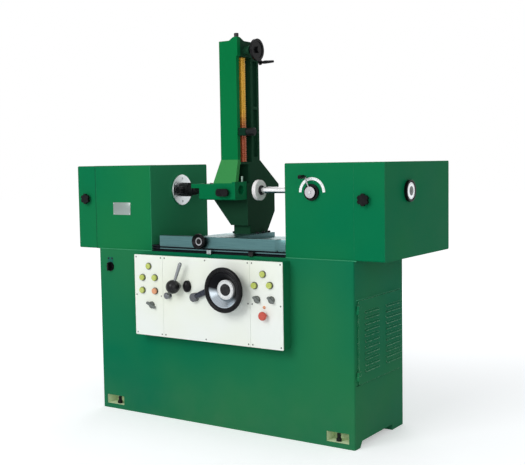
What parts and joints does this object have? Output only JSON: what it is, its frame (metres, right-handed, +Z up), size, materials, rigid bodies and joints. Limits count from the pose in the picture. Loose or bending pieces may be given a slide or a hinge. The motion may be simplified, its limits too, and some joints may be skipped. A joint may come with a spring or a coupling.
{
  "type": "connecting rod grinding machine",
  "caption": "Floor-standing machine with two opposed heads, a boring bar, a grinding spindle, a fixture column on a sliding table and a front control panel.",
  "frame": {"origin": "on the floor, at the centre of the four anchor holes, under the spindle axis and midway between the heads", "axes": "+X along the spindles to the right head, +Y to the back, +Z up"},
  "size_m": [1.702, 0.801, 1.799],
  "materials": {
    "cabinet_paint": "satin",
    "head_paint": "satin",
    "fixture_paint": "satin",
    "panel_plate": "satin",
    "ground_steel": "ground",
    "white_plate": "satin",
    "black_steel": "oxide black",
    "bright_metal": "polished",
    "black_plastic": "gloss",
    "red_plastic": "gloss",
    "green_plastic": "gloss",
    "yellow_plastic": "gloss",
    "lamp_lens": "gloss",
    "silver_alloy": "satin",
    "bronze_screw": "satin",
    "grinding_stone": "porous",
    "belt_rubber": "matt",
    "motor_paint": "painted"
  },
  "bodies": {
    "machine": {"cabinet_base": "cabinet_paint", "levelling_screws": "ground_steel", "panel_housing": "cabinet_paint", "panel_plates": "panel_plate", "control_bezels": "bright_metal", "indicator_lamps": "lamp_lens", "machine_bed": "ground_steel", "travel_stops": "ground_steel", "left_head_housing": "head_paint", "right_head_housing": "head_paint", "boring_motor": "motor_paint", "grinding_motor": "motor_paint", "drive_belts": "belt_rubber"},
    "cabinet_door": {"cabinet_door": "cabinet_paint"},
    "main_switch": {"main_switch": "black_plastic"},
    "handwheel": {"handwheel_rim": "black_plastic", "handwheel_dish": "silver_alloy", "handwheel_dial": "white_plate"},
    "hydraulic_lever": {"hydraulic_lever": "black_plastic"},
    "throttle_knob": {"throttle_knob": "black_plastic"},
    "chrome_knob": {"chrome_knob": "bright_metal"},
    "reverse_lever": {"reverse_lever": "bright_metal"},
    "emergency_stop": {"emergency_stop": "red_plastic"},
    "saddle": {"saddle": "ground_steel"},
    "cross_table": {"cross_slide": "ground_steel", "fixture_column": "fixture_paint", "guide_arm": "fixture_paint", "column_fittings": "black_steel"},
    "cross_feed_knob": {"cross_feed_knob": "black_plastic"},
    "arm_clamp_knob": {"arm_clamp_knob": "black_plastic"},
    "lead_screw": {"lead_screw": "bronze_screw"},
    "column_slide": {"column_slide": "fixture_paint", "small_end_pin": "ground_steel"},
    "crank_wheel": {"crank_wheel": "black_steel"},
    "crank_handle": {"crank_handle": "black_plastic"},
    "left_end_cover": {"left_end_cover": "head_paint"},
    "left_cover_knob": {"left_cover_knob": "black_plastic"},
    "right_end_cover": {"right_end_cover": "head_paint"},
    "right_cover_knob": {"right_cover_knob": "black_plastic"},
    "feed_dial": {"feed_dial": "black_plastic"},
    "boring_spindle": {"boring_spindle": "ground_steel", "boring_face_plate": "white_plate", "boring_bar": "black_steel"},
    "boring_motor_pulley": {"boring_motor_pulley": "black_steel"},
    "grinding_spindle": {"grinding_spindle": "ground_steel", "wheel_flange": "black_steel", "grinding_wheel": "grinding_stone"},
    "grinding_motor_pulley": {"grinding_motor_pulley": "black_steel"},
    "feed_lever": {"feed_disc": "black_plastic", "feed_lever": "bright_metal", "feed_lever_grip": "black_plastic"},
    "button_left_upper_a": {"button_left_upper_a": "green_plastic"},
    "button_left_upper_b": {"button_left_upper_b": "green_plastic"},
    "button_left_lower_a": {"button_left_lower_a": "yellow_plastic"},
    "button_left_lower_b": {"button_left_lower_b": "red_plastic"},
    "button_right_upper_a": {"button_right_upper_a": "yellow_plastic"},
    "button_right_upper_b": {"button_right_upper_b": "green_plastic"},
    "selector_left": {"selector_left": "black_plastic"},
    "selector_right_a": {"selector_right_a": "black_plastic"},
    "selector_right_b": {"selector_right_b": "black_plastic"}
  },
  "joints": [
    {"name": "door_hinge", "type": "hinge", "parent": "machine", "child": "cabinet_door", "pos_m": [0.7123, -0.2116, 0.447], "axis": [0, 0, -1], "range_deg": [0, 110]},
    {"name": "main_switch_turn", "type": "hinge", "parent": "machine", "child": "main_switch", "pos_m": [-0.634, -0.235, 0.705], "axis": [0, 1, 0], "range_deg": [0, 90]},
    {"name": "saddle_travel", "type": "slide", "parent": "machine", "child": "saddle", "axis": [1, 0, 0], "range_m": [-0.012, 0.04]},
    {"name": "handwheel_turn", "type": "hinge", "parent": "machine", "child": "handwheel", "pos_m": [0.131, -0.322, 0.65], "axis": [0, 1, 0], "range_deg": [-110, 362]},
    {"name": "hydraulic_lever_swing", "type": "hinge", "parent": "machine", "child": "hydraulic_lever", "pos_m": [-0.164, -0.335, 0.645], "axis": [0, 1, 0], "range_deg": [-30, 30]},
    {"name": "throttle_turn", "type": "hinge", "parent": "machine", "child": "throttle_knob", "pos_m": [-0.107, -0.318, 0.647], "axis": [0, 1, 0], "range_deg": [-135, 135]},
    {"name": "chrome_knob_turn", "type": "hinge", "parent": "machine", "child": "chrome_knob", "pos_m": [-0.217, -0.32, 0.598], "axis": [0, 1, 0], "range_deg": [-360, 360]},
    {"name": "reverse_lever_swing", "type": "hinge", "parent": "machine", "child": "reverse_lever", "pos_m": [-0.065, -0.318, 0.6], "axis": [0, 1, 0], "range_deg": [-25, 25]},
    {"name": "emergency_press", "type": "slide", "parent": "machine", "child": "emergency_stop", "axis": [0, 1, 0], "range_m": [0, 0.003]},
    {"name": "button_left_upper_a_press", "type": "slide", "parent": "machine", "child": "button_left_upper_a", "axis": [0, 1, 0], "range_m": [0, 0.003], "stiffness_N_per_m": 400, "springref_m": -0.003},
    {"name": "button_left_upper_b_press", "type": "slide", "parent": "machine", "child": "button_left_upper_b", "axis": [0, 1, 0], "range_m": [0, 0.003], "stiffness_N_per_m": 400, "springref_m": -0.003},
    {"name": "button_left_lower_a_press", "type": "slide", "parent": "machine", "child": "button_left_lower_a", "axis": [0, 1, 0], "range_m": [0, 0.003], "stiffness_N_per_m": 400, "springref_m": -0.003},
    {"name": "button_left_lower_b_press", "type": "slide", "parent": "machine", "child": "button_left_lower_b", "axis": [0, 1, 0], "range_m": [0, 0.003], "stiffness_N_per_m": 400, "springref_m": -0.003},
    {"name": "button_right_upper_a_press", "type": "slide", "parent": "machine", "child": "button_right_upper_a", "axis": [0, 1, 0], "range_m": [0, 0.003], "stiffness_N_per_m": 400, "springref_m": -0.003},
    {"name": "button_right_upper_b_press", "type": "slide", "parent": "machine", "child": "button_right_upper_b", "axis": [0, 1, 0], "range_m": [0, 0.003], "stiffness_N_per_m": 400, "springref_m": -0.003},
    {"name": "selector_left_turn", "type": "hinge", "parent": "machine", "child": "selector_left", "pos_m": [-0.322, -0.301, 0.546], "axis": [0, 1, 0], "range_deg": [-45, 45]},
    {"name": "selector_right_a_turn", "type": "hinge", "parent": "machine", "child": "selector_right_a", "pos_m": [0.27, -0.301, 0.612], "axis": [0, 1, 0], "range_deg": [-45, 45]},
    {"name": "selector_right_b_turn", "type": "hinge", "parent": "machine", "child": "selector_right_b", "pos_m": [0.344, -0.301, 0.615], "axis": [0, 1, 0], "range_deg": [-45, 45]},
    {"name": "cross_travel", "type": "slide", "parent": "saddle", "child": "cross_table", "axis": [0, 1, 0], "range_m": [-0.002, 0.002]},
    {"name": "cross_knob_turn", "type": "hinge", "parent": "saddle", "child": "cross_feed_knob", "pos_m": [-0.082, -0.238, 0.846], "axis": [0, 1, 0], "range_deg": [-181, 181]},
    {"name": "arm_knob_turn", "type": "hinge", "parent": "cross_table", "child": "arm_clamp_knob", "pos_m": [-0.074, -0.061, 1.062], "axis": [0, 1, 0], "range_deg": [-180, 180]},
    {"name": "lead_screw_turn", "type": "hinge", "parent": "cross_table", "child": "lead_screw", "pos_m": [-0.028, 0.044, 1.45], "axis": [0, 0, 1], "range_deg": [-10440, 4320]},
    {"name": "column_slide_travel", "type": "slide", "parent": "cross_table", "child": "column_slide", "axis": [0, 0, 1], "range_m": [-0.1201, 0.2901]},
    {"name": "crank_turn", "type": "hinge", "parent": "cross_table", "child": "crank_wheel", "pos_m": [0.061, 0.044, 1.722], "axis": [1, 0, 0], "range_deg": [-10441, 4321]},
    {"name": "crank_handle_spin", "type": "hinge", "parent": "crank_wheel", "child": "crank_handle", "pos_m": [0.102, 0.06486, 1.66468], "axis": [1, 0, 0], "continuous": true},
    {"name": "left_cover_hinge", "type": "hinge", "parent": "machine", "child": "left_end_cover", "pos_m": [-0.722, 0.223, 0.992], "axis": [0, 0, -1], "range_deg": [0, 100]},
    {"name": "left_cover_knob_turn", "type": "hinge", "parent": "left_end_cover", "child": "left_cover_knob", "pos_m": [-0.782, -0.238, 1.034], "axis": [0, 1, 0], "range_deg": [0, 720]},
    {"name": "right_cover_pull", "type": "slide", "parent": "machine", "child": "right_end_cover", "axis": [1, 0, 0], "range_m": [0, 0.16]},
    {"name": "right_cover_knob_turn", "type": "hinge", "parent": "right_end_cover", "child": "right_cover_knob", "pos_m": [0.755, -0.238, 1.043], "axis": [0, 1, 0], "range_deg": [0, 720]},
    {"name": "feed_dial_turn", "type": "hinge", "parent": "right_end_cover", "child": "feed_dial", "pos_m": [0.852, 0, 1.072], "axis": [1, 0, 0], "range_deg": [-720, 720]},
    {"name": "boring_spindle_spin", "type": "hinge", "parent": "machine", "child": "boring_spindle", "pos_m": [-0.374, 0, 1.072], "axis": [1, 0, 0], "continuous": true},
    {"name": "boring_motor_spin", "type": "hinge", "parent": "machine", "child": "boring_motor_pulley", "pos_m": [-0.766, 0, 0.884], "axis": [1, 0, 0], "continuous": true},
    {"name": "grinding_spindle_spin", "type": "hinge", "parent": "machine", "child": "grinding_spindle", "pos_m": [0.374, 0, 1.072], "axis": [1, 0, 0], "continuous": true},
    {"name": "grinding_motor_spin", "type": "hinge", "parent": "machine", "child": "grinding_motor_pulley", "pos_m": [0.748, 0, 0.884], "axis": [1, 0, 0], "continuous": true},
    {"name": "feed_lever_swing", "type": "hinge", "parent": "machine", "child": "feed_lever", "pos_m": [0.509, -0.237, 1.072], "axis": [0, 1, 0], "range_deg": [-40, 40]}
  ],
  "couplings": [
    {"joint": "handwheel_turn", "follows": "saddle_travel", "rad_per_m": 157.08},
    {"joint": "cross_knob_turn", "follows": "cross_travel", "rad_per_m": 1570.8},
    {"joint": "column_slide_travel", "follows": "lead_screw_turn", "m_per_rad": -0.0015915},
    {"joint": "crank_turn", "follows": "lead_screw_turn", "ratio": 1},
    {"joint": "boring_motor_spin", "follows": "boring_spindle_spin", "ratio": 1.4286},
    {"joint": "grinding_motor_spin", "follows": "grinding_spindle_spin", "ratio": 1.4286}
  ]
}
